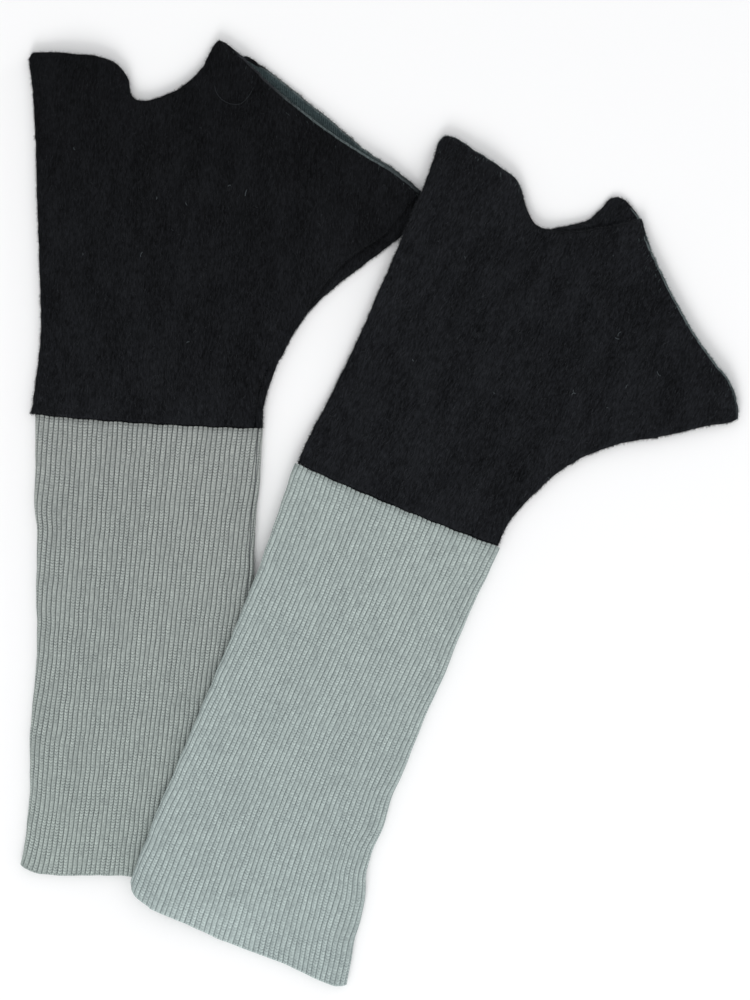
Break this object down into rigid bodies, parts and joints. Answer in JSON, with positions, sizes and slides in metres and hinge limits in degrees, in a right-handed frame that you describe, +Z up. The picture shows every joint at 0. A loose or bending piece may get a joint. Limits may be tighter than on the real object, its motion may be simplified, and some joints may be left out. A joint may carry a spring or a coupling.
{
  "type": "pair of fingerless mittens",
  "caption": "Long fingerless mittens of brushed fleece with deep fine-rib knit cuffs, laid flat with one partly on the other.",
  "frame": {"origin": "centre of the overall box on the surface the mittens lie on", "axes": "+Y is the long way of the layout, towards the hands; +Z points up, out of the surface; +X towards the upper mitten's fingers"},
  "size_m": [0.3176, 0.4182, 0.0091],
  "materials": {
    "hand_fleece": "matte black brushed fleece with a short nap",
    "cuff_knit": "matte sage grey fine rib knit"
  },
  "bodies": {
    "root": {"lower_hand_front": "hand_fleece", "lower_hand_back": "hand_fleece", "lower_cuff": "cuff_knit", "upper_hand_front": "hand_fleece", "upper_hand_back": "hand_fleece", "upper_cuff": "cuff_knit"}
  },
  "joints": []
}
